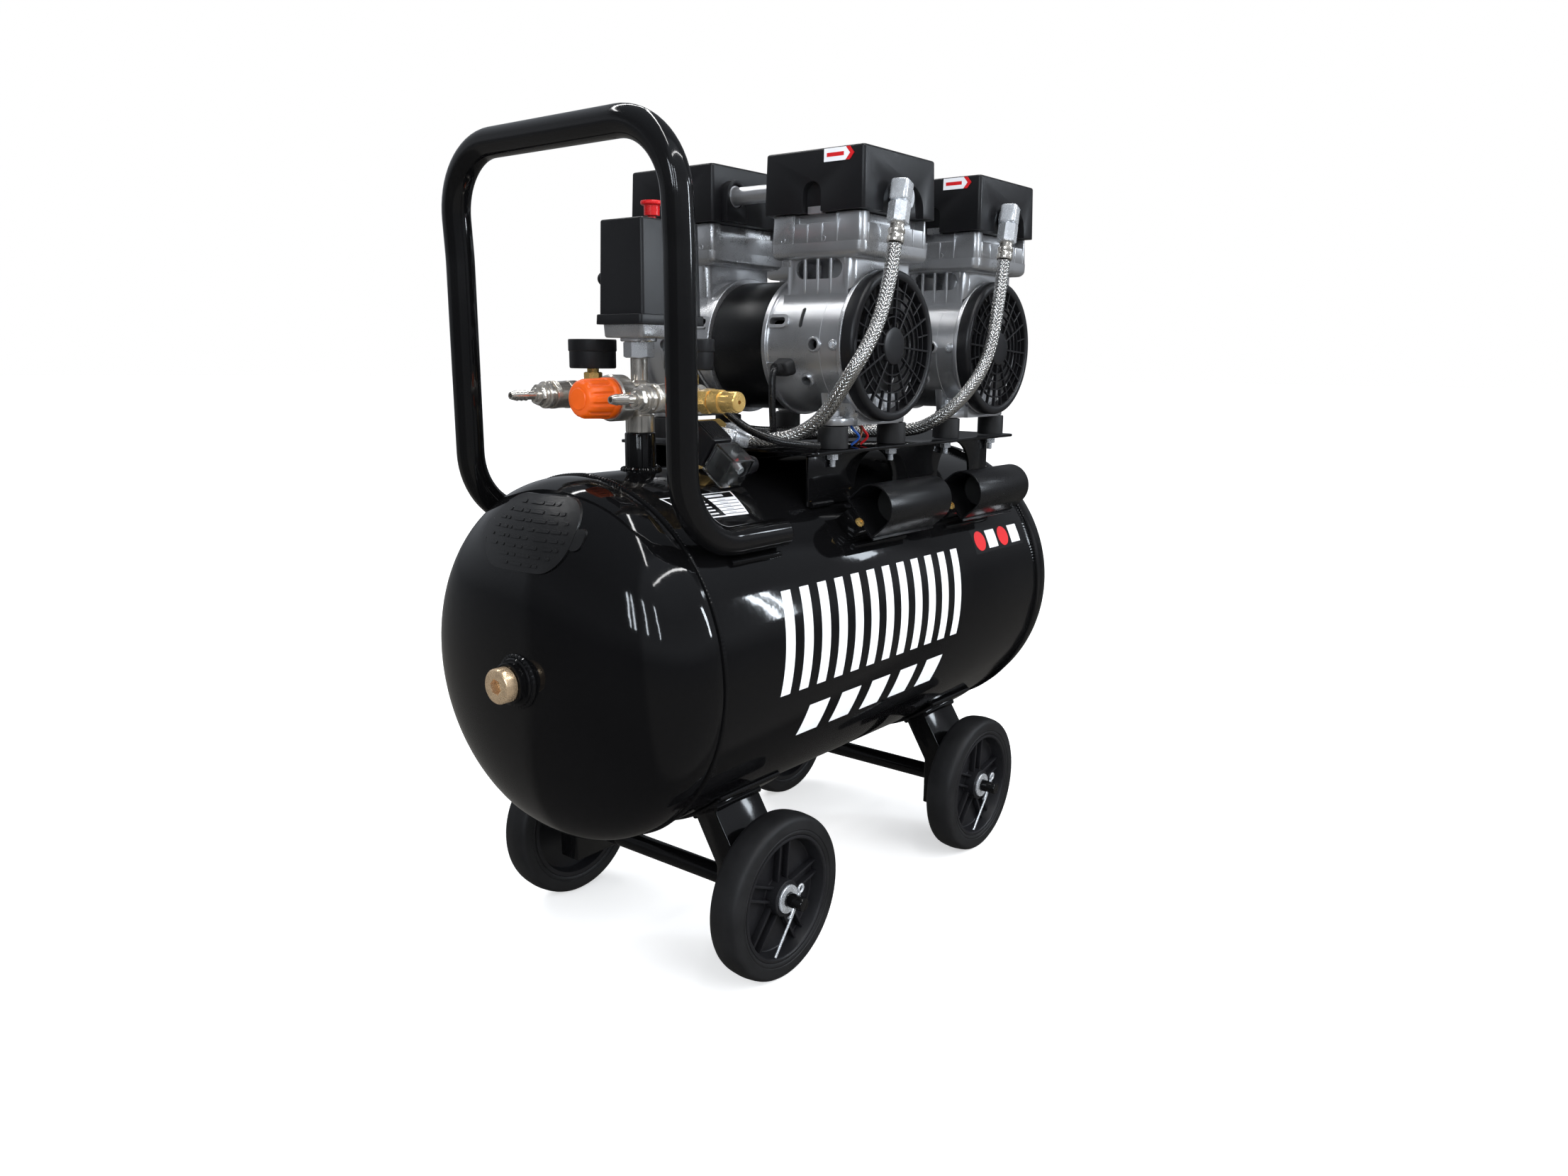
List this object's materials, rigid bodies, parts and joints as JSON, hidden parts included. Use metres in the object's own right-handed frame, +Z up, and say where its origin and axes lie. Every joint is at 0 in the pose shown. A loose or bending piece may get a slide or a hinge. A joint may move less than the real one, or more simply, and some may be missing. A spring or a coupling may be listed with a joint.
{
  "type": "portable air compressor",
  "caption": "Oil-free air compressor: motor-pump units side by side on a horizontal tank, with wheels, outlets, a pressure switch and a tall loop handle.",
  "frame": {"origin": "on the ground under the middle of the model's box", "axes": "+X along the tank, away from the handle; +Y to the side away from the capacitor covers; +Z up"},
  "size_m": [0.7335, 0.3351, 0.72],
  "materials": {
    "tank": "gloss black enamel",
    "frame_paint": "gloss black powder coat",
    "motor_paint": "satin black paint",
    "tyre": "solid rubber, matt",
    "hub_plastic": "moulded, fine grain",
    "rubber": "matt rubber",
    "cast_aluminium": "die cast, fine satin",
    "cover_plastic": "moulded black plastic, fine grain",
    "guard_plastic": "moulded black plastic, semi-gloss",
    "rotor": "dark fan and shaft",
    "zinc": "bright zinc plate",
    "nickel": "nickel plate",
    "brass": "machined brass",
    "braid": "woven stainless braid",
    "orange_plastic": "moulded orange plastic",
    "red_plastic": "moulded red plastic",
    "gauge_case": "black case with clear lens",
    "cable": "black cable sheath"
  },
  "bodies": {
    "base": {"tank": "tank", "tank_plug": "brass", "handle": "frame_paint", "undercarriage_near": "frame_paint", "undercarriage_far": "frame_paint", "mount_plate": "frame_paint", "rubber_foot_1_front_a": "rubber", "rubber_foot_1_front_b": "rubber", "pump_front_1": "cast_aluminium", "cover_front_1": "cover_plastic", "guard_front_1": "guard_plastic", "rubber_foot_1_rear_a": "rubber", "rubber_foot_1_rear_b": "rubber", "pump_rear_1": "cast_aluminium", "cover_rear_1": "cover_plastic", "guard_rear_1": "guard_plastic", "stator_1": "motor_paint", "crossover_1": "cast_aluminium", "hose_fitting_1": "zinc", "hose_1": "braid", "capacitor_cover_1": "cover_plastic", "rubber_foot_2_front_a": "rubber", "rubber_foot_2_front_b": "rubber", "pump_front_2": "cast_aluminium", "cover_front_2": "cover_plastic", "guard_front_2": "guard_plastic", "rubber_foot_2_rear_a": "rubber", "rubber_foot_2_rear_b": "rubber", "pump_rear_2": "cast_aluminium", "cover_rear_2": "cover_plastic", "guard_rear_2": "guard_plastic", "stator_2": "motor_paint", "crossover_2": "cast_aluminium", "hose_fitting_2": "zinc", "hose_2": "braid", "capacitor_cover_2": "cover_plastic", "switch_base": "cast_aluminium", "switch_cover": "cover_plastic", "manifold": "nickel", "gauge_left": "gauge_case", "gauge_right": "gauge_case", "safety_valve": "brass", "check_valve": "brass", "solenoid": "guard_plastic", "switch_cable": "cable", "motor_cable": "cable"},
    "wheel_near_right": {"tyre_near_right": "tyre", "hub_near_right": "hub_plastic"},
    "wheel_near_left": {"tyre_near_left": "tyre", "hub_near_left": "hub_plastic"},
    "wheel_far_right": {"tyre_far_right": "tyre", "hub_far_right": "hub_plastic"},
    "wheel_far_left": {"tyre_far_left": "tyre", "hub_far_left": "hub_plastic"},
    "rotor_1": {"rotor_1": "rotor"},
    "rotor_2": {"rotor_2": "rotor"},
    "switch_knob": {"switch_knob": "red_plastic"},
    "regulator_knob": {"regulator_knob": "orange_plastic"},
    "sleeve_left": {"coupler_sleeve_left": "nickel"},
    "sleeve_right": {"coupler_sleeve_right": "nickel"}
  },
  "joints": [
    {"name": "wheel_near_right_spin", "type": "hinge", "parent": "base", "child": "wheel_near_right", "pos_m": [-0.1682, -0.1334, 0.075], "axis": [0, 1, 0], "continuous": true},
    {"name": "wheel_near_left_spin", "type": "hinge", "parent": "base", "child": "wheel_near_left", "pos_m": [-0.1682, 0.1356, 0.075], "axis": [0, 1, 0], "continuous": true},
    {"name": "wheel_far_right_spin", "type": "hinge", "parent": "base", "child": "wheel_far_right", "pos_m": [0.1828, -0.1334, 0.075], "axis": [0, 1, 0], "continuous": true},
    {"name": "wheel_far_left_spin", "type": "hinge", "parent": "base", "child": "wheel_far_left", "pos_m": [0.1828, 0.1356, 0.075], "axis": [0, 1, 0], "continuous": true},
    {"name": "rotor_1_spin", "type": "hinge", "parent": "base", "child": "rotor_1", "pos_m": [-0.0038, 0.0011, 0.5514], "axis": [0, 1, 0], "continuous": true},
    {"name": "rotor_2_spin", "type": "hinge", "parent": "base", "child": "rotor_2", "pos_m": [0.199, 0.0011, 0.5514], "axis": [0, 1, 0], "continuous": true},
    {"name": "switch_knob_push", "type": "slide", "parent": "base", "child": "switch_knob", "axis": [0, 0, 1], "range_m": [-0.004, 0]},
    {"name": "regulator_knob_turn", "type": "hinge", "parent": "base", "child": "regulator_knob", "pos_m": [-0.2301, 0.0011, 0.5055], "axis": [1, 0, 0], "range_deg": [-540, 540]},
    {"name": "sleeve_left_pull", "type": "slide", "parent": "base", "child": "sleeve_left", "axis": [1, 0, 0], "range_m": [0, 0.004], "stiffness_N_per_m": 800},
    {"name": "sleeve_right_pull", "type": "slide", "parent": "base", "child": "sleeve_right", "axis": [1, 0, 0], "range_m": [0, 0.004], "stiffness_N_per_m": 800}
  ]
}
